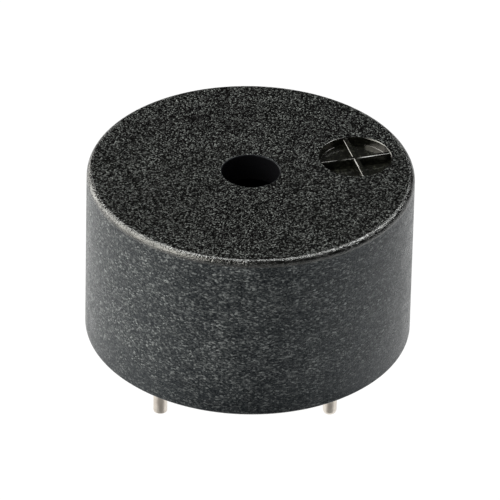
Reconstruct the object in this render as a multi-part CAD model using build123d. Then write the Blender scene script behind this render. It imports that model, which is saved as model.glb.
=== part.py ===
from build123d import *

import os
from math import atan2, cos, degrees, radians, sin

os.makedirs("parts", exist_ok=True)

# Self-driving piezo buzzer. Millimetres, +Z up, origin in the middle of the seat plane,
# which is the open lower rim of the case. The pins hang below it, in line along X.

# Moulded case
case_dia = 13.8
case_height = 7.6
case_draft = 0.06
top_wall = 1.2
rim_wall = 0.6
top_edge_r = 0.25
seat_chamfer = 0.1
rim_chamfer = 0.1

# Ledges that narrow the bore in steps, from the open underside up
board_ledge = 0.25
plate_ledge = 0.75

# Sound hole in the middle of the top
sound_hole_dia = 2.4
hole_lip = 0.06

# Polarity mark in the top: a round pocket crossed by two bars, beside the rim on the positive side
mark_margin = 0.85
mark_dia = 3.0
mark_depth = 0.35
bar_width = 0.24
bar_drop = 0.03

# Sealing resin and circuit board, stacked up from the seat plane
resin_recess = 0.3
resin_depth = 1.0
resin_meniscus = 0.08
board_thickness = 0.8
board_clearance = 0.05
copper_thickness = 0.035
component_space = 2.0

# Sounding disc: brass plate, ceramic, and the two silver electrodes on its inner face
electrode_thickness = 0.03
ceramic_thickness = 0.12
plate_thickness = 0.1
plate_clearance = 0.05
bond_thickness = 0.08
bond_bead_width = 0.4
bond_bead_height = 0.35
bare_brass = 1.5
electrode_margin = 0.3
tongue_width = 1.5
tongue_gap = 0.35
tongue_angle = 236.0
tongue_overrun = 0.6

# Pins: a shank held in the resin, a spigot through the board and the free length below the seat
pin_pitch = 7.6
pin_dia = 0.6
positive_length = 5.5
negative_length = 4.02
positive_tip_r = 0.22
negative_tip_bevel = 0.05
shank_dia = 1.0
spigot_dia = 0.5
spigot_clearance = 0.05
spigot_stand = 0.45

# Copper on the inner face of the board
track_width = 0.4
pin_pad_dia = 1.5
lead_pad_dia = 1.0
chip_pad = 0.9
foot_pad = 0.7
main_pad_at = (0.0, 2.4)
feedback_pad_at = (-2.2, -3.3)
plate_pad_at = (-2.7, 2.7)

# Chip resistors
chip_length = 1.6
chip_width = 0.8
chip_height = 0.45
cap_length = 0.3
cap_skin = 0.04
collector_chip_at = (1.9, 0.3)
collector_chip_turn = 0.0
bias_chip_at = (2.6, -1.7)
bias_chip_turn = 90.0
feedback_chip_at = (0.0, -3.7)
feedback_chip_turn = 0.0

# Three-legged transistor, its single leg towards +Y
transistor_at = (0.0, -1.5)
transistor_length = 2.9
transistor_width = 1.3
transistor_height = 0.95
transistor_taper = 7.0
transistor_stand = 0.1
leg_width = 0.4
leg_thickness = 0.12
leg_pitch = 1.9
leg_depth = 0.3
leg_shoulder = 0.15
leg_slope = 0.15
leg_foot = 0.25
leg_bend_r = 0.08

# Enamelled leads between the board and the disc
lead_dia = 0.25
lead_slope_height = 0.45
main_lead_angle = 90.0
plate_lead_angle = 135.0
electrode_joint_margin = 0.8

# Solder
pin_joint_dia = 1.3
pin_joint_height = 0.35
lead_joint_dia = 0.9
lead_joint_height = 0.28
chip_joint_reach = 0.25
chip_joint_height = 0.35
foot_joint_reach = 0.18
foot_joint_height = 0.1

# Radii that follow from the case
case_r = case_dia / 2
bore_r = case_r - rim_wall
board_r = bore_r - board_clearance
plate_bore_r = bore_r - board_ledge
plate_r = plate_bore_r - plate_clearance
cavity_r = plate_bore_r - plate_ledge
ceramic_r = plate_r - bare_brass
electrode_r = ceramic_r - electrode_margin
mark_x = case_r - mark_margin - mark_dia / 2

# Heights that follow from the stack
board_bottom = resin_recess + resin_depth
board_top = board_bottom + board_thickness
copper_top = board_top + copper_thickness
electrode_bottom = board_top + component_space
ceramic_bottom = electrode_bottom + electrode_thickness
plate_bottom = ceramic_bottom + ceramic_thickness
plate_top = plate_bottom + plate_thickness
plate_ledge_z = plate_top + bond_thickness
ceiling_z = case_height - top_wall

spigot_hole_r = spigot_dia / 2 + spigot_clearance
pin_places = [(pin_pitch / 2, 0.0), (-pin_pitch / 2, 0.0)]
chips = {
    "collector_resistor": (collector_chip_at, collector_chip_turn),
    "bias_resistor": (bias_chip_at, bias_chip_turn),
    "feedback_resistor": (feedback_chip_at, feedback_chip_turn),
}


# A solid turned about Z from an outline in the XZ plane, given as (radius, height) points
def turned(outline):
    return revolve(Plane.XZ * make_face(Polyline(*outline, close=True)), axis=Axis.Z)


# A round disc or post between two heights
def disc(radius, bottom, top):
    return Pos(0, 0, bottom) * extrude(Circle(radius), amount=top - bottom)


# A point at a radius and an angle in degrees about Z
def polar(radius, angle):
    return (radius * cos(radians(angle)), radius * sin(radians(angle)))


# The moulded case: one turned shell with a stepped bore and the sound hole, then the polarity mark
def housing():
    hole_r = sound_hole_dia / 2
    outline = [
        (hole_r, ceiling_z),
        (hole_r, case_height - hole_lip),
        (hole_r + hole_lip, case_height),
        (case_r - case_draft, case_height),
        (case_r, seat_chamfer),
        (case_r - seat_chamfer, 0),
        (bore_r + rim_chamfer, 0),
        (bore_r, rim_chamfer),
        (bore_r, board_top),
        (plate_bore_r, board_top),
        (plate_bore_r, plate_ledge_z),
        (cavity_r, plate_ledge_z),
        (cavity_r, ceiling_z),
    ]
    section = Plane.XZ * make_face(Polyline(*outline, close=True))
    top_edge = section.vertices().sort_by(Axis.Z)[-2:].sort_by(Axis.X)[-1]
    return revolve(fillet(top_edge, top_edge_r), axis=Axis.Z) - polarity_recess()


# What the mould leaves out of the top for the mark: the pocket less its two crossed bars
def polarity_recess():
    pocket = disc(mark_dia / 2, case_height - mark_depth, case_height)
    bar_top = case_height - bar_drop
    bar = Rectangle(mark_dia + bar_width, bar_width)
    cross = extrude(bar + Rot(0, 0, 90) * bar, amount=bar_top - (case_height - mark_depth))
    cross = Pos(0, 0, case_height - mark_depth) * cross
    return Pos(mark_x, 0, 0) * (pocket - cross)


# Silicone that glues the plate to its ledge, fills the gap at its edge and beads behind it
def diaphragm_bond():
    return turned([
        (cavity_r, plate_ledge_z),
        (plate_bore_r, plate_ledge_z),
        (plate_bore_r, plate_bottom - bond_bead_height),
        (plate_bore_r - bond_bead_width, plate_bottom),
        (plate_r, plate_bottom),
        (plate_r, plate_top),
        (cavity_r, plate_top),
    ])


def brass_plate():
    return disc(plate_r, plate_bottom, plate_top)


def piezo_ceramic():
    return disc(ceramic_r, ceramic_bottom, plate_bottom)


# A round-ended strip from just past the centre out beyond the rim of the electrodes
def tongue_strip(width):
    reach = electrode_r + tongue_overrun + width
    strip = Pos((reach - tongue_overrun) / 2, 0) * SlotCenterToCenter(reach + tongue_overrun, width)
    return Rot(0, 0, tongue_angle) * strip


def silver_layer(shape):
    return Pos(0, 0, electrode_bottom) * extrude(shape, amount=electrode_thickness)


# The large electrode, with a keyhole cut into it for the tongue
def main_electrode():
    return silver_layer(Circle(electrode_r) - tongue_strip(tongue_width + 2 * tongue_gap))


# The tongue that senses the disc's own swing and keeps the transistor switching
def feedback_electrode():
    return silver_layer(Circle(electrode_r) & tongue_strip(tongue_width))


def circuit_board():
    board = disc(board_r, board_bottom, board_top)
    for place in pin_places:
        board -= Pos(*place) * disc(spigot_hole_r, board_bottom, board_top)
    return board


# A place at the middle of one end cap of a chip: side is 1 or -1 along its length
def chip_end(name, side):
    (x, y), turn = chips[name]
    along_x, along_y = polar(side * (chip_length - cap_length) / 2, turn)
    return (x + along_x, y + along_y)


# A place under a transistor leg's foot: column is -1, 0 or 1 along X, row is the side along Y
def foot_place(column, row):
    reach = transistor_width / 2 + leg_shoulder + leg_slope + leg_foot / 2
    return (transistor_at[0] + column * leg_pitch / 2, transistor_at[1] + row * reach)


def track(start, end):
    (x0, y0), (x1, y1) = start, end
    run = Vector(x1 - x0, y1 - y0)
    heading = degrees(atan2(run.Y, run.X))
    slot = Rot(0, 0, heading) * SlotCenterToCenter(run.length, track_width)
    return Pos((x0 + x1) / 2, (y0 + y1) / 2) * slot


def square_pad(place, size):
    return Pos(*place) * Rectangle(size, size)


def round_pad(place, dia):
    return Pos(*place) * Circle(dia / 2)


# The five copper nets, each one solid: supply, ground, collector, base and feedback
def copper_tracks():
    positive, negative = pin_places
    collector_foot, base_foot, emitter_foot = foot_place(0, 1), foot_place(1, -1), foot_place(-1, -1)
    supply = [
        round_pad(positive, pin_pad_dia),
        square_pad(chip_end("collector_resistor", 1), chip_pad),
        square_pad(chip_end("bias_resistor", 1), chip_pad),
        track(positive, chip_end("collector_resistor", 1)),
        track(positive, chip_end("bias_resistor", 1)),
    ]
    ground = [
        round_pad(negative, pin_pad_dia),
        round_pad(plate_pad_at, lead_pad_dia),
        square_pad(emitter_foot, foot_pad),
        track(negative, plate_pad_at),
        track(negative, emitter_foot),
    ]
    collector = [
        round_pad(main_pad_at, lead_pad_dia),
        square_pad(collector_foot, foot_pad),
        square_pad(chip_end("collector_resistor", -1), chip_pad),
        track(main_pad_at, collector_foot),
        track(collector_foot, chip_end("collector_resistor", -1)),
    ]
    base = [
        square_pad(base_foot, foot_pad),
        square_pad(chip_end("bias_resistor", -1), chip_pad),
        square_pad(chip_end("feedback_resistor", 1), chip_pad),
        track(base_foot, chip_end("bias_resistor", -1)),
        track(base_foot, chip_end("feedback_resistor", 1)),
    ]
    feedback = [
        round_pad(feedback_pad_at, lead_pad_dia),
        square_pad(chip_end("feedback_resistor", -1), chip_pad),
        track(feedback_pad_at, chip_end("feedback_resistor", -1)),
    ]
    nets = []
    for shapes in (supply, ground, collector, base, feedback):
        outline = Sketch() + shapes
        for place in pin_places:
            outline -= round_pad(place, 2 * spigot_hole_r)
        nets.append(Pos(0, 0, board_top) * extrude(outline, amount=copper_thickness))
    return Compound(children=[net.solid() for net in nets])


def chip_position(name):
    place, turn = chips[name]
    return Pos(*place, copper_top) * Rot(0, 0, turn)


# The ceramic body of a chip resistor, clear of the copper by the skin of its end caps
def chip_core():
    length = chip_length - 2 * cap_skin
    return Pos(0, 0, cap_skin + chip_height / 2) * Box(length, chip_width, chip_height)


def chip_body(name):
    return chip_position(name) * chip_core()


# The six end caps, each wrapped over the end, top and bottom of its resistor
def resistor_end_caps():
    height = chip_height + 2 * cap_skin
    caps = []
    for name in chips:
        for side in (-1, 1):
            block = Box(cap_length, chip_width, height)
            block = Pos(side * (chip_length - cap_length) / 2, 0, height / 2) * block
            caps.append((chip_position(name) * (block - chip_core())).solid())
    return Compound(children=caps)


# One bent leg, in the transistor's own place, reaching out along +Y from inside the body
def leg():
    edge = transistor_width / 2
    middle_z = transistor_stand + transistor_height / 2
    foot_z = leg_thickness / 2
    out = edge + leg_shoulder
    down = out + leg_slope
    line = FilletPolyline(
        (edge - leg_depth, middle_z),
        (out, middle_z),
        (down, foot_z),
        (down + leg_foot, foot_z),
        radius=leg_bend_r,
    )
    profile = Plane.YZ * trace(line, line_width=leg_thickness)
    return extrude(profile, amount=leg_width / 2, both=True)


# Where the three legs stand: the collector's alone, then the base's and the emitter's opposite
def leg_positions():
    home = Pos(*transistor_at, copper_top)
    base = home * Pos(leg_pitch / 2, 0, 0) * Rot(0, 0, 180)
    emitter = home * Pos(-leg_pitch / 2, 0, 0) * Rot(0, 0, 180)
    return [home, base, emitter]


def transistor_legs():
    return Compound(children=[(position * leg()).solid() for position in leg_positions()])


# The moulded body, tapered away from its parting plane, around the roots of its legs
def transistor_body():
    half = extrude(
        Rectangle(transistor_length, transistor_width), amount=transistor_height / 2, taper=transistor_taper
    )
    block = half + mirror(half, about=Plane.XY)
    middle_z = copper_top + transistor_stand + transistor_height / 2
    return Pos(*transistor_at, middle_z) * block - transistor_legs()


# Where each lead leaves the board and where it lands on the disc
def lead_ends():
    joint_r = electrode_r - electrode_joint_margin
    brass_joint_r = (ceramic_r + plate_bore_r - bond_bead_width) / 2
    return {
        "main_lead": (main_pad_at, (*polar(joint_r, main_lead_angle), electrode_bottom)),
        "feedback_lead": (feedback_pad_at, (*polar(joint_r, tongue_angle), electrode_bottom)),
        "plate_lead": (plate_pad_at, (*polar(brass_joint_r, plate_lead_angle), plate_bottom)),
    }


# A lead goes straight up off the board, is kinked across on a slope, and goes straight up to the disc
def lead(name):
    (x0, y0), (x1, y1, top) = lead_ends()[name]
    rise = (top - copper_top - lead_slope_height) / 2
    route = Polyline((x0, y0, copper_top), (x0, y0, copper_top + rise), (x1, y1, top - rise), (x1, y1, top))
    wire = Plane(origin=route @ 0, z_dir=route % 0) * Circle(lead_dia / 2)
    return sweep(wire, path=route, transition=Transition.RIGHT)


# A cone of solder on z = 0 that climbs a round pin or wire
def solder_joint(wire_r, base_dia, height):
    return turned([(wire_r, 0), (base_dia / 2, 0), (wire_r, height)])


# Solder at the pins: it fills the hole in the board around each spigot and climbs its end
def pin_solder():
    spigot_r = spigot_dia / 2
    joint = turned([
        (spigot_r, board_bottom),
        (spigot_hole_r, board_bottom),
        (spigot_hole_r, copper_top),
        (pin_joint_dia / 2, copper_top),
        (spigot_r, copper_top + pin_joint_height),
    ])
    return Compound(children=[(Pos(*place) * joint).solid() for place in pin_places])


# A wedge of solder on z = 0 against an upright end face at x = 0, reaching along +X
def solder_wedge(reach, height, width):
    side = Plane.XZ * make_face(Polyline((0, 0), (reach, 0), (0, height), close=True))
    return extrude(side, amount=width / 2, both=True)


# Solder at the ends of the chip resistors and of the transistor's feet
def component_solder():
    joints = []
    for name in chips:
        for turn in (0, 180):
            end = chip_position(name) * Rot(0, 0, turn) * Pos(chip_length / 2, 0, 0)
            joints.append((end * solder_wedge(chip_joint_reach, chip_joint_height, chip_width)).solid())
    foot_end = transistor_width / 2 + leg_shoulder + leg_slope + leg_foot
    for position in leg_positions():
        end = position * Pos(0, foot_end, 0) * Rot(0, 0, 90)
        joints.append((end * solder_wedge(foot_joint_reach, foot_joint_height, leg_width)).solid())
    return Compound(children=joints)


# Solder at both ends of the three leads: joints on the board, and joints hung from the disc
def lead_solder():
    joint = solder_joint(lead_dia / 2, lead_joint_dia, lead_joint_height)
    joints = []
    for (x0, y0), (x1, y1, top) in lead_ends().values():
        joints.append((Pos(x0, y0, copper_top) * joint).solid())
        joints.append((Pos(x1, y1, top) * Rot(180, 0, 0) * joint).solid())
    return Compound(children=joints)


# A pin with its shank flush with the resin and its spigot through the board
def pin(place, length, shape_tip):
    shaft_r, shank_r, spigot_r = pin_dia / 2, shank_dia / 2, spigot_dia / 2
    spigot_top = copper_top + spigot_stand
    outline = [
        (0, -length),
        (shaft_r, -length),
        (shaft_r, resin_recess),
        (shank_r, resin_recess),
        (shank_r, board_bottom),
        (spigot_r, board_bottom),
        (spigot_r, spigot_top),
        (0, spigot_top),
    ]
    section = Plane.XZ * make_face(Polyline(*outline, close=True))
    tip = section.vertices().sort_by(Axis.Z)[:2].sort_by(Axis.X)[-1]
    return Pos(*place) * revolve(shape_tip(tip), axis=Axis.Z)


# The longer pin ends round
def pin_positive():
    return pin(pin_places[0], positive_length, lambda corner: fillet(corner, positive_tip_r))


# The shorter pin is cut square, with its burr taken off
def pin_negative():
    return pin(pin_places[1], negative_length, lambda corner: chamfer(corner, negative_tip_bevel))


# The resin poured in behind the board, with a meniscus up the wall of the case
def potting_resin():
    resin = turned([
        (0, resin_recess),
        (bore_r - resin_meniscus, resin_recess),
        (bore_r, resin_recess - resin_meniscus),
        (bore_r, board_bottom),
        (0, board_bottom),
    ])
    for place in pin_places:
        resin -= Pos(*place) * disc(shank_dia / 2, resin_recess, board_bottom)
    return resin


pieces = {
    "housing": housing,
    "diaphragm_bond": diaphragm_bond,
    "brass_plate": brass_plate,
    "piezo_ceramic": piezo_ceramic,
    "main_electrode": main_electrode,
    "feedback_electrode": feedback_electrode,
    "circuit_board": circuit_board,
    "copper_tracks": copper_tracks,
    "transistor_body": transistor_body,
    "transistor_legs": transistor_legs,
    "resistor_end_caps": resistor_end_caps,
    "pin_solder": pin_solder,
    "component_solder": component_solder,
    "lead_solder": lead_solder,
    "pin_positive": pin_positive,
    "pin_negative": pin_negative,
    "potting_resin": potting_resin,
}

for name, build in pieces.items():
    export_step(build(), f"parts/{name}.step")
for name in chips:
    export_step(chip_body(name), f"parts/{name}.step")
for name in lead_ends():
    export_step(lead(name), f"parts/{name}.step")
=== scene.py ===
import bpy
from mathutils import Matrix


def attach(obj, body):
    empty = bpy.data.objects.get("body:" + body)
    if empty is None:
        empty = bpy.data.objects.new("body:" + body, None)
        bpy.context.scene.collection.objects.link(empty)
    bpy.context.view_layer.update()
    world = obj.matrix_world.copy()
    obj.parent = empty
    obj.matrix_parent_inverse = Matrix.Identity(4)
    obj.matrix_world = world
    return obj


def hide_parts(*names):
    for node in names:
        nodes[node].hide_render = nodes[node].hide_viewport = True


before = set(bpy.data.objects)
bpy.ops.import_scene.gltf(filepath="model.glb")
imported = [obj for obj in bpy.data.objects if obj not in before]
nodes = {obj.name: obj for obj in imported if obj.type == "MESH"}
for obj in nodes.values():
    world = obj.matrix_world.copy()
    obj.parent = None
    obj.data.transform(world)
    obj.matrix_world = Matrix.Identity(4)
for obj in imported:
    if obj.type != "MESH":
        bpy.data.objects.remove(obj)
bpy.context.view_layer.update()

import math

import bmesh
import bpy
from mathutils import Matrix, Vector

# Lengths in the dictionaries are in millimetres, angles in degrees
mm = 0.001
mergeGap = 0.0002  # points closer than this become one
print("frame:", len(nodes), "CAD nodes")


# One node, its settings and its sockets: a plain value is set, a socket is linked
def addNode(tree, kind, sockets=None, **settings):
    node = tree.nodes.new(kind)
    for key, value in settings.items():
        setattr(node, key, value)
    for key, value in (sockets or {}).items():
        if isinstance(value, bpy.types.NodeSocket):
            tree.links.new(value, node.inputs[key])
        else:
            node.inputs[key].default_value = value
    return node


def calc(tree, operation, first, second=0.0):
    return addNode(tree, "ShaderNodeMath", {0: first, 1: second}, operation=operation).outputs[0]


# A place seen from above, and its height
def splitPlace(tree, place):
    parts = addNode(tree, "ShaderNodeSeparateXYZ", {0: place}).outputs
    plan = addNode(tree, "ShaderNodeCombineXYZ", {0: parts[0], 1: parts[1]})
    return plan.outputs[0], parts[2]


def lengthOf(tree, vector):
    return addNode(tree, "ShaderNodeVectorMath", {0: vector}, operation="LENGTH").outputs["Value"]


def addObject(name, data):
    thing = bpy.data.objects.new(name, data)
    bpy.context.scene.collection.objects.link(thing)
    return thing


# Away from the middle: azimuth 0 is the side towards -Y, and it turns to +X
def awayTo(azimuth, elevation):
    turn, rise = math.radians(azimuth), math.radians(elevation)
    return Vector((math.sin(turn) * math.cos(rise), -math.cos(turn) * math.cos(rise), math.sin(rise)))


photoCamera = {
    "distance": 200.0, "azimuth": -16.4, "elevation": 33.95, "roll": 1.312, "clip": (10.0, 10000.0),
    "aimHeight": 3.75, "right": 0.0338, "up": -0.105, "lens": 342.14, "sensor": 36.0,
}


def makeCamera(view):
    azimuth, roll = math.radians(view["azimuth"]), math.radians(view["roll"])
    back = awayTo(view["azimuth"], view["elevation"])
    level = Vector((math.cos(azimuth), math.sin(azimuth), 0))
    upright = back.cross(level)
    right = level * math.cos(roll) + upright * math.sin(roll)
    up = upright * math.cos(roll) - level * math.sin(roll)
    data = bpy.data.cameras.new("photoCamera")
    data.lens, data.sensor_width = view["lens"], view["sensor"]
    data.clip_start, data.clip_end = (reach * mm for reach in view["clip"])
    camera = addObject("photoCamera", data)
    aim = Vector((0, 0, view["aimHeight"]))
    place = aim + back * view["distance"] + right * view["right"] + up * view["up"]
    turn = Matrix((right, up, back)).transposed().to_4x4()
    camera.matrix_world = Matrix.Translation(place * mm) @ turn
    bpy.context.scene.camera = camera


makeCamera(photoCamera)
bpy.context.scene.view_settings.view_transform = "Standard"
print("camera set")


# The ceiling's start and end are heights of the world's direction, from -1 to 1
studio = {
    "floorDrop": 60.0, "floorSize": 3000.0, "floorColour": (0.9, 0.9, 0.9, 1), "floorWhite": 0.9,
    "worldFill": 0.42, "ceilingShine": 0.02, "ceilingStart": -0.45, "ceilingEnd": -0.1,
    "lampDistance": 300.0,
    "lamps": {
        "key": {"azimuth": -90.0, "elevation": 38.0, "size": (300.0, 220.0), "radiance": 4.5,
                "colour": (1.0, 0.96, 0.9)},
        "backLeft": {"azimuth": -142.0, "elevation": 16.0, "size": (200.0, 120.0), "radiance": 6.0,
                     "colour": (1.0, 0.97, 0.93)},
        "highLeft": {"azimuth": -154.0, "elevation": 57.0, "size": (170.0, 90.0), "radiance": 8.0,
                     "colour": (1.0, 0.99, 0.97)},
        "highRight": {"azimuth": 128.0, "elevation": 55.0, "size": (180.0, 80.0), "radiance": 8.0,
                      "colour": (1.0, 1.0, 1.0)},
    },
    "flag": {"azimuth": -12.0, "near": 30.0, "far": 240.0, "width": 190.0, "lift": 2.0,
             "colour": (0.16, 0.16, 0.16, 1)},
}


# White to camera, diffuse light at its own strength, and a dark ceiling in what the part mirrors
def makeWorld():
    world = bpy.data.worlds.new("studioWorld")
    world.use_nodes = True
    tree = world.node_tree
    tree.nodes.clear()
    direction = addNode(tree, "ShaderNodeTexCoord").outputs["Generated"]
    height = addNode(tree, "ShaderNodeSeparateXYZ", {0: direction}).outputs[2]
    wall = addNode(tree, "ShaderNodeMapRange", {
        "Value": height, "From Min": studio["ceilingStart"], "From Max": studio["ceilingEnd"],
        "To Min": 1.0, "To Max": studio["ceilingShine"]}, interpolation_type="SMOOTHSTEP")
    path = addNode(tree, "ShaderNodeLightPath").outputs
    mirrored = calc(tree, "MULTIPLY", path["Is Glossy Ray"], wall.outputs[0])
    plain = calc(tree, "MAXIMUM", path["Is Camera Ray"], path["Is Transmission Ray"])
    seen = calc(tree, "MAXIMUM", plain, mirrored)
    fill = calc(tree, "MULTIPLY", path["Is Diffuse Ray"], studio["worldFill"])
    background = addNode(tree, "ShaderNodeBackground", {
        "Color": (1, 1, 1, 1), "Strength": calc(tree, "MAXIMUM", seen, fill)})
    addNode(tree, "ShaderNodeOutputWorld", {"Surface": background.outputs[0]})
    bpy.context.scene.world = world


def startMaterial(name):
    material = bpy.data.materials.new(name)
    material.use_nodes = True
    material.node_tree.nodes.clear()
    return material, material.node_tree


# A flat sheet that belongs to the studio
def makeSheet(name, corners, material, seen=True):
    mesh = bpy.data.meshes.new(name)
    mesh.from_pydata([corner * mm for corner in corners], [], [(0, 1, 2, 3)])
    mesh.materials.append(material)
    sheet = addObject(name, mesh)
    sheet.visible_camera = seen


# Nearly white to camera, mirror and glass rays, plain paper to the light, and clear from below
def makeFloor():
    material, tree = startMaterial("studioFloor")
    paper = addNode(tree, "ShaderNodeBsdfDiffuse", {"Color": studio["floorColour"]})
    white = addNode(tree, "ShaderNodeEmission", {"Color": (1, 1, 1, 1), "Strength": 1.0})
    path = addNode(tree, "ShaderNodeLightPath").outputs
    seen = calc(tree, "MAXIMUM", path["Is Camera Ray"], path["Is Glossy Ray"])
    seen = calc(tree, "MAXIMUM", seen, path["Is Transmission Ray"])
    share = calc(tree, "MULTIPLY", seen, studio["floorWhite"])
    top = addNode(tree, "ShaderNodeMixShader", {0: share, 1: paper.outputs[0], 2: white.outputs[0]})
    under = addNode(tree, "ShaderNodeBsdfTransparent")
    side = addNode(tree, "ShaderNodeNewGeometry")
    both = addNode(tree, "ShaderNodeMixShader",
                   {0: side.outputs["Backfacing"], 1: top.outputs[0], 2: under.outputs[0]})
    addNode(tree, "ShaderNodeOutputMaterial", {"Surface": both.outputs[0]})
    half, height = studio["floorSize"] / 2, -studio["floorDrop"]
    corners = ((-half, -half), (half, -half), (half, half), (-half, half))
    makeSheet("floor", [Vector((x, y, height)) for x, y in corners], material)


# A dark cloth on the floor before the part, for what its front wall mirrors
def makeFlag(flag):
    material = bpy.data.materials.new("darkCloth")
    material.use_nodes = True
    shader = material.node_tree.nodes["Principled BSDF"]
    shader.inputs["Base Color"].default_value = flag["colour"]
    shader.inputs["Roughness"].default_value = 1.0
    turn = Matrix.Rotation(math.radians(flag["azimuth"]), 4, "Z")
    half, height = flag["width"] / 2, flag["lift"] - studio["floorDrop"]
    corners = ((-half, -flag["far"]), (half, -flag["far"]), (half, -flag["near"]), (-half, -flag["near"]))
    makeSheet("darkCloth", [turn @ Vector((x, y, height)) for x, y in corners], material, seen=False)


def makeLamp(name, lamp):
    away = awayTo(lamp["azimuth"], lamp["elevation"])
    data = bpy.data.lights.new(name, "AREA")
    data.shape = "RECTANGLE"
    data.size, data.size_y = (side * mm for side in lamp["size"])
    data.color = lamp["colour"]
    data.energy = lamp["radiance"] * math.pi * data.size * data.size_y
    light = addObject(name, data)
    light.location = away * studio["lampDistance"] * mm
    light.rotation_mode = "QUATERNION"
    light.rotation_quaternion = away.to_track_quat("Z", "Y")


makeWorld()
makeFloor()
makeFlag(studio["flag"])
for lampName, lampLook in studio["lamps"].items():
    makeLamp(lampName, lampLook)
print("studio set")


# Spans: the whole of a value's range, and the middle part that a noise mostly fills
fullSpan, noiseSpan = (0.0, 1.0), (0.3, 0.7)


# The place on the piece in millimetres
def placeOnPiece(tree):
    place = addNode(tree, "ShaderNodeTexCoord").outputs["Object"]
    return addNode(tree, "ShaderNodeVectorMath", {0: place, "Scale": 1 / mm}, operation="SCALE").outputs[0]


def stretched(tree, place, stretch):
    return addNode(tree, "ShaderNodeMapping", {"Vector": place, "Scale": stretch}).outputs[0]


def noise(tree, place, size, detail=3.0, roughness=0.6):
    return addNode(tree, "ShaderNodeTexNoise", {
        "Vector": place, "Scale": 1.0 / size, "Detail": detail, "Roughness": roughness}).outputs["Fac"]


# Random tone for each crystal-like cell, and the rise of each cell's middle
def cells(tree, place, size):
    texture = addNode(tree, "ShaderNodeTexVoronoi", {"Vector": place, "Scale": 1.0 / size}).outputs
    tone = addNode(tree, "ShaderNodeSeparateColor", {0: texture["Color"]}).outputs[0]
    return tone, calc(tree, "SUBTRACT", 1.0, texture["Distance"])


# Carries a span of values smoothly over to another
def spread(tree, value, span, target=fullSpan):
    return addNode(tree, "ShaderNodeMapRange", {
        "Value": value, "From Min": span[0], "From Max": span[1], "To Min": target[0], "To Max": target[1]},
        interpolation_type="SMOOTHSTEP").outputs[0]


def mixColour(tree, share, *colours):
    first, second = (entry if isinstance(entry, bpy.types.NodeSocket) else (*entry, 1) for entry in colours)
    return addNode(tree, "ShaderNodeMix", {0: share, 6: first, 7: second}, data_type="RGBA").outputs[2]


def bump(tree, height, distance, strength=1.0):
    return addNode(tree, "ShaderNodeBump", {
        "Height": height, "Distance": distance * mm, "Strength": strength}).outputs[0]


def closeMaterial(tree, sockets):
    shader = addNode(tree, "ShaderNodeBsdfPrincipled", sockets)
    addNode(tree, "ShaderNodeOutputMaterial", {"Surface": shader.outputs[0]})


# Flecks fade towards the foot over the heights in fade; core is a painted shade: the plain dark tone of
# what lies inside the two radii and on the foot
casePlastic = {
    # tint is a painted cool colour on the reflections, standing in for the bluish surroundings they mirror
    "density": 1.5, "shine": 0.36, "tint": (0.82, 0.93, 1.0, 1), "roughness": (0.24, 0.36),
    "dark": (0.002, 0.0035, 0.005), "light": (0.32, 0.343, 0.337), "relief": 0.045,
    "flake": 0.09, "dust": 0.06, "dustShare": 0.5, "rarity": 5.5, "stretch": (1.0, 1.0, 1.7),
    "cloud": 0.9, "cloudShare": (0.45, 1.0), "fade": (0.3, 2.6), "fadeShare": (0.5, 1.0),
    "core": (0.005, 0.005, 0.006), "shadeShine": 0.12, "coreCalm": 0.85,
    "coreRadius": 6.35, "coreTop": 7.2, "holeRadius": 1.25, "foot": 0.11,
}
# The rim is glossier and smoother; its near-black flecks are a painted shade for the dark band along the
# top edge's fillet
rimPlastic = {
    **casePlastic, "density": 1.8, "shine": 0.75, "tint": (0.98, 1.0, 0.97, 1), "roughness": (0.12, 0.2),
    "dark": (0.001, 0.001, 0.001), "light": (0.03, 0.031, 0.028), "relief": 0.03,
}
# The mark is glossier and smoother; its near-black flecks are a painted shade in the pocket and, on the
# bars, their own dark smooth finish
markPlastic = {
    **casePlastic, "density": 1.6, "shine": 0.9, "tint": (1, 1, 0.95, 1), "roughness": (0.12, 0.15),
    "dark": (0.002, 0.002, 0.0015), "light": (0.024, 0.026, 0.018), "relief": 0.002,
}


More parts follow.
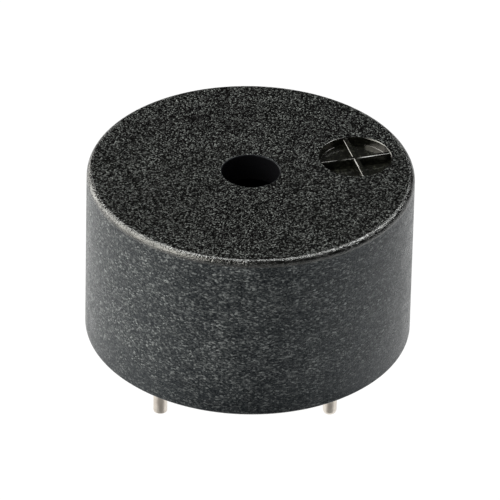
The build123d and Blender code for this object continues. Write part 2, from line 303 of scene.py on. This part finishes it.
# Black moulded plastic with glass flecks in its skin, with a painted shade inside the case, in the sound
# hole and on the foot: plain, dark and with little shine
def makeCasePlastic(name, look):
    material, tree = startMaterial(name)
    place = placeOnPiece(tree)
    plan, height = splitPlace(tree, place)
    radius = lengthOf(tree, plan)
    # Painted shade: the faces inside the bore, the sound hole and the foot take a plain dark tone with
    # little shine
    bored = calc(tree, "MULTIPLY", calc(tree, "LESS_THAN", radius, look["coreRadius"]),
                 calc(tree, "LESS_THAN", height, look["coreTop"]))
    holed = calc(tree, "MAXIMUM", bored, calc(tree, "LESS_THAN", radius, look["holeRadius"]))
    shadedArea = calc(tree, "MAXIMUM", holed, calc(tree, "LESS_THAN", height, look["foot"]))

    skin = stretched(tree, place, look["stretch"])
    flakeTone, flakeRise = cells(tree, skin, look["flake"])
    dustTone, dustRise = cells(tree, skin, look["dust"])
    cloud = noise(tree, skin, look["cloud"])
    shown = calc(tree, "MULTIPLY", spread(tree, cloud, noiseSpan, look["cloudShare"]),
                 spread(tree, height, look["fade"], look["fadeShare"]))
    flake = calc(tree, "POWER", flakeTone, look["rarity"])
    dust = calc(tree, "MULTIPLY", calc(tree, "POWER", dustTone, look["rarity"]), look["dustShare"])
    fleck = calc(tree, "MULTIPLY", calc(tree, "MAXIMUM", flake, dust), shown)
    rise = calc(tree, "ADD", calc(tree, "MULTIPLY", flakeRise, flakeTone),
                calc(tree, "MULTIPLY", dustRise, look["dustShare"]))
    calm = calc(tree, "SUBTRACT", 1.0, calc(tree, "MULTIPLY", shadedArea, look["coreCalm"]))
    flecked = mixColour(tree, fleck, look["dark"], look["light"])
    closeMaterial(tree, {
        "Base Color": mixColour(tree, shadedArea, flecked, look["core"]),
        "Roughness": spread(tree, cloud, noiseSpan, look["roughness"]),
        "IOR": look["density"],
        "Specular IOR Level": spread(tree, shadedArea, fullSpan, (look["shine"], look["shadeShine"])),
        "Specular Tint": look["tint"],
        "Normal": bump(tree, calc(tree, "MULTIPLY", rise, shown), look["relief"], calm)})
    return material


# In roughness and shine the first value is the pits', the second the crests'
grainedFace = {
    # light is a painted glint on the grain's crests
    "dark": (0.0015, 0.0015, 0.0015), "light": (0.275, 0.3, 0.285), "roughness": (0.65, 0.45),
    "shine": (0.02, 0.25), "shineSpan": (0.3, 1.0), "grain": 0.056, "rarity": 6.0, "relief": 0.13,
    "lowest": 0.3, "cloud": 1.6, "cloudDetail": 2.0, "cloudRoughness": 0.5, "cloudSpan": (0.2, 0.75),
    "cloudShare": (0.6, 1.0),
}


# The top face: the same plastic with a spark-eroded grain, whose pits swallow light and crests catch it;
# the crests' lighter colour is a painted glint
def makeGrainedFace(look):
    material, tree = startMaterial("grainedFace")
    place = placeOnPiece(tree)
    tone, rise = cells(tree, place, look["grain"])
    cloud = noise(tree, place, look["cloud"], look["cloudDetail"], look["cloudRoughness"])
    # Painted glints: a lighter colour on the grain's crests
    crestGlint = calc(tree, "MULTIPLY", calc(tree, "POWER", tone, look["rarity"]),
                 spread(tree, cloud, look["cloudSpan"], look["cloudShare"]))
    height = calc(tree, "MULTIPLY", rise, calc(tree, "ADD", tone, look["lowest"]))
    closeMaterial(tree, {
        "Base Color": mixColour(tree, crestGlint, look["dark"], look["light"]),
        "Roughness": spread(tree, tone, fullSpan, look["roughness"]),
        "Specular IOR Level": spread(tree, tone, look["shineSpan"], look["shine"]),
        "Normal": bump(tree, height, look["relief"])})
    return material


boardLaminate = {
    "dark": (0.3, 0.27, 0.1), "light": (0.5, 0.46, 0.2), "roughness": (0.32, 0.48), "density": 1.55,
    "yarn": 0.42, "wander": 0.6, "wanderDetail": 1.0, "wanderScale": 2.0, "relief": 0.006,
}


# Glass laminate: the cloth shows through the resin as two crossed sets of yarns
def makeBoardLaminate(look):
    material, tree = startMaterial("boardLaminate")
    place = placeOnPiece(tree)
    yarns = [addNode(tree, "ShaderNodeTexWave", {
        "Vector": place, "Scale": 1.0 / look["yarn"], "Distortion": look["wander"],
        "Detail": look["wanderDetail"], "Detail Scale": look["wanderScale"]},
        bands_direction=direction).outputs["Fac"] for direction in ("X", "Y")]
    weave = calc(tree, "MULTIPLY", *yarns)
    closeMaterial(tree, {
        "Base Color": mixColour(tree, weave, look["dark"], look["light"]),
        "Roughness": spread(tree, weave, fullSpan, look["roughness"]),
        "IOR": look["density"],
        "Normal": bump(tree, weave, look["relief"])})
    return material


plainFinishes = {
    "bond_silicone": {
        "name": "bondSilicone", "dark": (0.55, 0.55, 0.52), "light": (0.72, 0.72, 0.68),
        "roughness": (0.35, 0.5), "patch": 0.8, "grain": 0.15, "relief": 0.01},
    "plate_brass": {
        "name": "plateBrass", "dark": (0.68, 0.49, 0.2), "light": (0.82, 0.62, 0.3), "metallic": 1.0,
        "roughness": (0.22, 0.38), "patch": 1.5, "grain": 0.05, "relief": 0.002,
        "stretch": (0.15, 1.0, 1.0)},
    "piezo_ceramic": {
        "name": "piezoCeramic", "dark": (0.6, 0.56, 0.45), "light": (0.74, 0.7, 0.58),
        "roughness": (0.55, 0.75), "patch": 0.5, "grain": 0.03, "relief": 0.004},
    "electrode_silver": {
        "name": "electrodeSilver", "dark": (0.7, 0.69, 0.66), "light": (0.86, 0.85, 0.82), "metallic": 1.0,
        "roughness": (0.4, 0.6), "patch": 0.7, "grain": 0.04, "relief": 0.004},
    "copper": {
        "name": "copperFoil", "dark": (0.72, 0.33, 0.18), "light": (0.88, 0.48, 0.3), "metallic": 1.0,
        "roughness": (0.25, 0.42), "patch": 0.6, "grain": 0.04, "relief": 0.003},
    "transistor_epoxy": {
        "name": "transistorEpoxy", "dark": (0.018, 0.018, 0.02), "light": (0.04, 0.04, 0.042),
        "roughness": (0.5, 0.7), "patch": 0.4, "grain": 0.04, "relief": 0.008},
    "lead_frame": {
        "name": "leadFrame", "dark": (0.62, 0.61, 0.58), "light": (0.8, 0.79, 0.76), "metallic": 1.0,
        "roughness": (0.28, 0.42), "patch": 0.4, "grain": 0.05, "relief": 0.003},
    "chip_ceramic": {
        "name": "chipCeramic", "dark": (0.02, 0.02, 0.022), "light": (0.06, 0.06, 0.065),
        "roughness": (0.25, 0.4), "patch": 0.3, "grain": 0.05, "relief": 0.004},
    "chip_caps": {
        "name": "chipCaps", "dark": (0.6, 0.6, 0.58), "light": (0.8, 0.8, 0.77), "metallic": 1.0,
        "roughness": (0.3, 0.5), "patch": 0.2, "grain": 0.05, "relief": 0.006},
    "solder": {
        "name": "softSolder", "dark": (0.56, 0.57, 0.56), "light": (0.8, 0.8, 0.79), "metallic": 1.0,
        "roughness": (0.2, 0.4), "patch": 0.3, "grain": 0.1, "relief": 0.01},
    "lead_wire": {
        "name": "enamelledWire", "dark": (0.32, 0.06, 0.02), "light": (0.5, 0.13, 0.04), "metallic": 0.4,
        "roughness": (0.2, 0.3), "patch": 0.5, "grain": 0.06, "relief": 0.003},
    "pin_tinned": {
        "name": "pinTinned", "dark": (0.66, 0.6, 0.53), "light": (0.88, 0.83, 0.75), "metallic": 1.0,
        "roughness": (0.3, 0.46), "patch": 0.5, "grain": 0.07, "relief": 0.006,
        "stretch": (1.0, 1.0, 0.35)},
    "resin_epoxy": {
        "name": "resinEpoxy", "dark": (0.012, 0.012, 0.014), "light": (0.03, 0.03, 0.033),
        "roughness": (0.14, 0.3), "patch": 1.5, "grain": 0.6, "relief": 0.03},
}


# A finish of two tones that change over patches, with fine grain in roughness and relief
def makeFinish(look):
    material, tree = startMaterial(look["name"])
    place = placeOnPiece(tree)
    if "stretch" in look:
        place = stretched(tree, place, look["stretch"])
    patches = spread(tree, noise(tree, place, look["patch"]), noiseSpan)
    fine = noise(tree, place, look["grain"])
    closeMaterial(tree, {
        "Base Color": mixColour(tree, patches, look["dark"], look["light"]),
        "Metallic": look.get("metallic", 0.0),
        "Roughness": spread(tree, fine, noiseSpan, look["roughness"]),
        "Normal": bump(tree, fine, look["relief"])})
    return material


finishes = {
    "case_plastic": makeCasePlastic("casePlastic", casePlastic),
    "case_rim": makeCasePlastic("rimPlastic", rimPlastic),
    "case_mark": makeCasePlastic("markPlastic", markPlastic),
    "grained_face": makeGrainedFace(grainedFace),
    "board_laminate": makeBoardLaminate(boardLaminate),
    **{slotName: makeFinish(look) for slotName, look in plainFinishes.items()},
}
for slotName, material in finishes.items():
    for node in nodes.values():
        slots = node.data.materials
        if any(entry.name.split(".")[0] == slotName for entry in slots if entry):
            for index in range(len(slots)):
                slots[index] = material
print("finishes made:", len(finishes))


# What every turned piece is made from: its outline, carried round a circle
turningInputs = (
    ("Geometry", "Geometry"), ("Path Radius", "Float"), ("Segments", "Int"), ("Arc Steps", "Int"))


def newTree(name, inputs):
    tree = bpy.data.node_groups.new(name, "GeometryNodeTree")
    for label, kind in inputs:
        tree.interface.new_socket(label, in_out="INPUT", socket_type="NodeSocket" + kind)
    tree.interface.new_socket("Geometry", in_out="OUTPUT", socket_type="NodeSocketGeometry")
    return tree, addNode(tree, "NodeGroupInput").outputs


# Every tree of a piece ends in real geometry with its material; an area may take another one
def closeTree(tree, geometry, given, areas=()):
    end = addNode(tree, "GeometryNodeRealizeInstances", {"Geometry": geometry})
    end = addNode(tree, "GeometryNodeSetMaterial", {
        "Geometry": end.outputs[0], "Material": given["Material"]})
    for label, area in areas:
        end = addNode(tree, "GeometryNodeSetMaterial", {
            "Geometry": end.outputs[0], "Selection": area, "Material": given[label]})
    addNode(tree, "NodeGroupOutput", {"Geometry": end.outputs[0]})


def roundCorners(tree, curve, steps, radius):
    return addNode(tree, "GeometryNodeFilletCurve", {
        "Curve": curve, "Count": steps, "Radius": radius, "Limit Radius": True}, mode="POLY").outputs[0]


def makeTurning():
    tree, given = newTree("turning", turningInputs)
    rounding = addNode(tree, "GeometryNodeInputNamedAttribute", {"Name": "cornerRadius"}, data_type="FLOAT")
    outline = addNode(tree, "GeometryNodeMeshToCurve", {"Mesh": given["Geometry"]})
    rounded = roundCorners(tree, outline.outputs[0], given["Arc Steps"], rounding.outputs[0])
    path = addNode(tree, "GeometryNodeCurvePrimitiveCircle", {
        "Resolution": given["Segments"], "Radius": given["Path Radius"]})
    wall = addNode(tree, "GeometryNodeCurveToMesh", {"Curve": path.outputs[0], "Profile Curve": rounded})
    closed = addNode(tree, "GeometryNodeMergeByDistance", {
        "Geometry": wall.outputs[0], "Distance": mergeGap * mm})
    addNode(tree, "NodeGroupOutput", {"Geometry": closed.outputs[0]})
    return tree


turning = makeTurning()


def addTurning(tree, given):
    sockets = {label: given[label] for label, kind in turningInputs}
    return addNode(tree, "GeometryNodeGroup", sockets, node_tree=turning).outputs[0]


def turningValues(size):
    return {"Path Radius": size["pathRadius"] * mm, "Segments": size["segments"],
            "Arc Steps": size["arcSteps"]}


# The outline as edges: radius outward from the path, height turned to depth, and each corner's rounding
def outlineObject(name, corners, pathRadius, closed=False):
    mesh = bpy.data.meshes.new(name)
    points = [((radius - pathRadius) * mm, -height * mm, 0) for radius, height, rounding in corners]
    edges = [(i, i + 1) for i in range(len(points) - 1)] + ([(len(points) - 1, 0)] if closed else [])
    mesh.from_pydata(points, edges, [])
    mesh.attributes.new("cornerRadius", "FLOAT", "POINT").data.foreach_set(
        "value", [rounding * mm for radius, height, rounding in corners])
    return addObject(name, mesh)


sharpAngle = 32.0  # edges that turn by more than this stay sharp


# Runs a tree on an object with its inputs set, and keeps the result as a plain mesh
def settle(piece, tree, values):
    modifier = piece.modifiers.new(tree.name, "NODES")
    modifier.node_group = tree
    for socket in tree.interface.items_tree:
        if socket.in_out == "INPUT" and socket.name in values:
            modifier[socket.identifier] = values[socket.name]
    graph = bpy.context.evaluated_depsgraph_get()
    mesh = bpy.data.meshes.new_from_object(piece.evaluated_get(graph))
    piece.modifiers.remove(modifier)
    if mesh.has_custom_normals:  # the cut's own normals would mark smooth edges as sharp
        mesh.attributes.remove(mesh.attributes["custom_normal"])
    shape = bmesh.new()
    shape.from_mesh(mesh)
    bmesh.ops.remove_doubles(shape, verts=shape.verts, dist=mergeGap * mm)
    if shape.calc_volume(signed=True) < 0:
        bmesh.ops.reverse_faces(shape, faces=shape.faces)
    openEdges = sum(1 for edge in shape.edges if len(edge.link_faces) != 2)
    shape.to_mesh(mesh)
    shape.free()
    mesh.shade_smooth()
    mesh.set_sharp_from_angle(angle=math.radians(sharpAngle))
    piece.data = mesh
    even = piece.modifiers.new("evenNormals", "WEIGHTED_NORMAL")
    even.keep_sharp = True
    print(piece.name, "faces", len(mesh.polygons), "open edges", openEdges)


def keep(piece, node):
    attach(piece, "root")
    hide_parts(node)


# Slacks take in the faces on the limit itself when the finishes are given out by place
caseShell = {
    "segments": 256, "arcSteps": 8, "pathRadius": 1.0,
    "radius": 6.9, "height": 7.6, "draft": 0.06, "topEdge": 0.25, "seatEdge": 0.1, "mouthEdge": 0.1,
    "boreRadius": 6.3, "plateBoreRadius": 6.05, "cavityRadius": 5.3,
    "boardLedge": 2.1, "plateLedge": 4.43, "ceiling": 6.4, "holeRadius": 1.2,
    "holeEdge": 0.07, "innerEdge": 0.04, "footEase": 0.02, "chamferEase": 0.03,
    "faceSlack": 0.001, "markFloorSlack": 0.02, "markSideSlack": 0.2,
}
polarityMark = {
    "segments": 96, "arcSteps": 6, "pathRadius": 1.0,
    "place": 4.55, "radius": 1.5, "depth": 0.35, "lip": 0.05, "root": 0.03,
    "overcut": 0.001, "brimWidth": 0.03, "brimHeight": 0.1,
    "barWidth": 0.24, "barDrop": 0.03, "barEdge": 0.07, "barSink": 0.15, "barOverrun": 0.4,
}


def caseOutline(size):
    top, inner, foot, chamfer = (size[key] for key in ("height", "innerEdge", "footEase", "chamferEase"))
    return [
        (size["holeRadius"], size["ceiling"], inner),
        (size["holeRadius"], top, size["holeEdge"]),
        (size["radius"] - size["draft"], top, size["topEdge"]),
        (size["radius"], size["seatEdge"], chamfer),
        (size["radius"] - size["seatEdge"], 0, foot),
        (size["boreRadius"] + size["mouthEdge"], 0, foot),
        (size["boreRadius"], size["mouthEdge"], chamfer),
        (size["boreRadius"], size["boardLedge"], 0),
        (size["plateBoreRadius"], size["boardLedge"], 0),
        (size["plateBoreRadius"], size["plateLedge"], 0),
        (size["cavityRadius"], size["plateLedge"], 0),
        (size["cavityRadius"], size["ceiling"], inner),
    ]


# The pocket with a brim that stands above the face, so that the cut goes through it
def pocketOutline(mark, top):
    floor, brim = top - mark["depth"], mark["radius"] + mark["lip"] + mark["brimWidth"]
    return [
        (0, floor, 0),
        (mark["radius"], floor, mark["root"]),
        (mark["radius"], top + mark["overcut"], mark["lip"]),
        (brim, top + mark["overcut"], 0),
        (brim, top + mark["brimHeight"], 0),
        (0, top + mark["brimHeight"], 0),
    ]


# What is cut from the top for the mark: a round pocket, less the two crossed bars that stay standing
def makeMarkTree():
    tree, given = newTree("markCutter", turningInputs + (
        ("Bar Length", "Float"), ("Bar Width", "Float"), ("Bar Height", "Float"), ("Bar Edge", "Float"),
        ("Bar Place", "Vector"), ("Mark Place", "Vector"), ("Material", "Material")))
    pocket = addTurning(tree, given)
    section = addNode(tree, "GeometryNodeCurvePrimitiveQuadrilateral", {
        "Width": given["Bar Width"], "Height": given["Bar Height"]})
    eased = roundCorners(tree, section.outputs[0], given["Arc Steps"], given["Bar Edge"])
    ends = [calc(tree, "MULTIPLY", given["Bar Length"], share) for share in (-0.5, 0.5)]
    cutter = addNode(tree, "GeometryNodeMeshBoolean", {"Mesh 1": pocket},
                     solver="EXACT", operation="DIFFERENCE")
    for axis in (0, 1):
        start, end = (addNode(tree, "ShaderNodeCombineXYZ", {axis: reach}).outputs[0] for reach in ends)
        line = addNode(tree, "GeometryNodeCurvePrimitiveLine", {"Start": start, "End": end})
        upright = addNode(tree, "GeometryNodeSetCurveNormal", {"Curve": line.outputs[0]}, mode="Z_UP")
        bar = addNode(tree, "GeometryNodeCurveToMesh", {
            "Curve": upright.outputs[0], "Profile Curve": eased, "Fill Caps": True})
        placed = addNode(tree, "GeometryNodeTransform", {
            "Geometry": bar.outputs[0], "Translation": given["Bar Place"]})
        tree.links.new(placed.outputs[0], cutter.inputs["Mesh 2"])
    moved = addNode(tree, "GeometryNodeTransform", {
        "Geometry": cutter.outputs[0], "Translation": given["Mark Place"]})
    closeTree(tree, moved.outputs[0], given)
    return tree


# The turned shell less the cutter, with finishes of their own on the rim, in the mark and on the face
def makeCaseTree():
    tree, given = newTree("mouldedCase", turningInputs + (
        ("Cutter", "Object"), ("Face Height", "Float"), ("Rim Foot", "Float"), ("Rim Radius", "Float"),
        ("Mark Foot", "Float"), ("Mark Start", "Float"), ("Face Material", "Material"),
        ("Rim Material", "Material"), ("Mark Material", "Material"), ("Material", "Material")))
    cutter = addNode(tree, "GeometryNodeObjectInfo", {"Object": given["Cutter"]})
    cut = addNode(tree, "GeometryNodeMeshBoolean", {
        "Mesh 1": addTurning(tree, given), "Mesh 2": cutter.outputs["Geometry"]},
        solver="EXACT", operation="DIFFERENCE")
    plan, height = splitPlace(tree, addNode(tree, "GeometryNodeInputPosition").outputs[0])
    radius = lengthOf(tree, plan)
    onRim = calc(tree, "MULTIPLY", calc(tree, "GREATER_THAN", height, given["Rim Foot"]),
                 calc(tree, "GREATER_THAN", radius, given["Rim Radius"]))
    offRim = calc(tree, "MULTIPLY", calc(tree, "LESS_THAN", radius, given["Rim Radius"]),
                  calc(tree, "GREATER_THAN", radius, given["Mark Start"]))
    inMark = calc(tree, "MULTIPLY", calc(tree, "GREATER_THAN", height, given["Mark Foot"]), offRim)
    onFace = calc(tree, "GREATER_THAN", height, given["Face Height"])
    closeTree(tree, cut.outputs[0], given, (
        ("Rim Material", onRim), ("Mark Material", inMark), ("Face Material", onFace)))
    return tree


def makeCase(size, mark):
    top, plastic = size["height"], finishes["case_plastic"]
    barTop, barFoot = top - mark["barDrop"], top - mark["depth"] - mark["barSink"]
    cutter = outlineObject("mark_cutter", pocketOutline(mark, top), mark["pathRadius"])
    settle(cutter, makeMarkTree(), {
        **turningValues(mark), "Material": plastic,
        "Bar Length": (2 * mark["radius"] + mark["barOverrun"]) * mm, "Bar Width": mark["barWidth"] * mm,
        "Bar Height": (barTop - barFoot) * mm, "Bar Edge": mark["barEdge"] * mm,
        "Bar Place": (0, 0, (barTop + barFoot) / 2 * mm), "Mark Place": (mark["place"] * mm, 0, 0)})
    piece = outlineObject("moulded_case", caseOutline(size), size["pathRadius"], closed=True)
    settle(piece, makeCaseTree(), {
        **turningValues(size), "Cutter": cutter, "Material": plastic,
        "Face Height": (top - size["faceSlack"]) * mm, "Rim Foot": (top - size["topEdge"]) * mm,
        "Rim Radius": (size["radius"] - size["draft"] - size["topEdge"]) * mm,
        "Mark Foot": (top - mark["depth"] - size["markFloorSlack"]) * mm,
        "Mark Start": (mark["place"] - mark["radius"] - size["markSideSlack"]) * mm,
        "Face Material": finishes["grained_face"], "Rim Material": finishes["case_rim"],
        "Mark Material": finishes["case_mark"]})
    bpy.data.objects.remove(cutter)
    keep(piece, "housing")


makeCase(caseShell, polarityMark)
print("housing made")


pinPair = {
    "segments": 48, "arcSteps": 7, "pathRadius": 0.2, "radius": 0.3,
    "shankRadius": 0.5, "shankFoot": 0.3, "shankTop": 1.3, "shankEase": 0.02, "footEase": 0.03,
    "spigotRadius": 0.25, "spigotTop": 2.585, "spigotEase": 0.05,
    "positive": {"piece": "positive_pin", "node": "pin_positive", "place": (3.8, 0, 0), "length": 5.5,
                 "tip": 0.22},
    "negative": {"piece": "negative_pin", "node": "pin_negative", "place": (-3.8, 0, 0), "length": 4.02,
                 "tip": 0.05},
}


def placeOf(pin):
    return tuple(part * mm for part in pin["place"])


def makePinTree():
    tree, given = newTree("turnedPin", turningInputs + (("Pin Place", "Vector"), ("Material", "Material")))
    placed = addNode(tree, "GeometryNodeTransform", {
        "Geometry": addTurning(tree, given), "Translation": given["Pin Place"]})
    closeTree(tree, placed.outputs[0], given)
    return tree


def makePin(size, pin, tree):
    outline = [
        (0, -pin["length"], 0),
        (size["radius"], -pin["length"], pin["tip"]),
        (size["radius"], size["shankFoot"], size["footEase"]),
        (size["shankRadius"], size["shankFoot"], size["shankEase"]),
        (size["shankRadius"], size["shankTop"], size["shankEase"]),
        (size["spigotRadius"], size["shankTop"], size["shankEase"]),
        (size["spigotRadius"], size["spigotTop"], size["spigotEase"]),
        (0, size["spigotTop"], 0),
    ]
    piece = outlineObject(pin["piece"], outline, size["pathRadius"])
    settle(piece, tree, {
        **turningValues(size), "Pin Place": placeOf(pin), "Material": finishes["pin_tinned"]})
    keep(piece, pin["node"])


pinTree = makePinTree()
for sign in ("positive", "negative"):
    makePin(pinPair, pinPair[sign], pinTree)
print("pins made")


# The resin climbs at the wall and at each pin, and falls off with distance at the rate in fall
sealingResin = {
    "segments": 192, "arcSteps": 1, "rings": 64, "pathRadius": 1.0, "radius": 6.3, "face": 0.3, "back": 1.3,
    "wallRise": 0.08, "wallReach": 0.25, "pinRise": 0.1, "pinReach": 0.22, "pinRadius": 0.3, "fall": 2.2,
}


def resinOutline(size):
    outline = []
    for ring in range(size["rings"] + 1):
        radius = size["radius"] * ring / size["rings"]
        climb = math.exp(-(size["radius"] - radius) / size["wallReach"] * size["fall"])
        outline.append((radius, size["face"] - size["wallRise"] * climb, 0))
    return outline + [(size["radius"], size["back"], 0), (0, size["back"], 0)]


def makeResinTree():
    tree, given = newTree("pouredResin", turningInputs + (
        ("Positive Place", "Vector"), ("Negative Place", "Vector"), ("Pin Radius", "Float"),
        ("Pin Rise", "Float"), ("Pin Reach", "Float"), ("Fall", "Float"), ("Face Limit", "Float"),
        ("Material", "Material")))
    plan, height = splitPlace(tree, addNode(tree, "GeometryNodeInputPosition").outputs[0])
    rises = []
    for label in ("Positive Place", "Negative Place"):
        gap = addNode(tree, "ShaderNodeVectorMath", {0: plan, 1: given[label]}, operation="DISTANCE")
        beyond = calc(tree, "SUBTRACT", gap.outputs["Value"], given["Pin Radius"])
        steps = calc(tree, "DIVIDE", calc(tree, "MAXIMUM", beyond, 0.0), given["Pin Reach"])
        share = calc(tree, "EXPONENT", calc(tree, "MULTIPLY", steps, given["Fall"]))
        rises.append(calc(tree, "MULTIPLY", share, given["Pin Rise"]))
    drop = calc(tree, "MULTIPLY", calc(tree, "ADD", *rises), -1.0)
    onFace = calc(tree, "LESS_THAN", height, given["Face Limit"])
    lift = addNode(tree, "ShaderNodeCombineXYZ", {2: calc(tree, "MULTIPLY", drop, onFace)})
    shaped = addNode(tree, "GeometryNodeSetPosition", {
        "Geometry": addTurning(tree, given), "Offset": lift.outputs[0]})
    closeTree(tree, shaped.outputs[0], given)
    return tree


def makeResin(size):
    piece = outlineObject("poured_resin", resinOutline(size), size["pathRadius"])
    settle(piece, makeResinTree(), {
        **turningValues(size), "Positive Place": placeOf(pinPair["positive"]),
        "Negative Place": placeOf(pinPair["negative"]), "Pin Radius": size["pinRadius"] * mm,
        "Pin Rise": size["pinRise"] * mm, "Pin Reach": size["pinReach"] * mm, "Fall": -size["fall"],
        "Face Limit": (size["face"] + size["back"]) / 2 * mm, "Material": finishes["resin_epoxy"]})
    keep(piece, "potting_resin")


makeResin(sealingResin)
print("resin made")
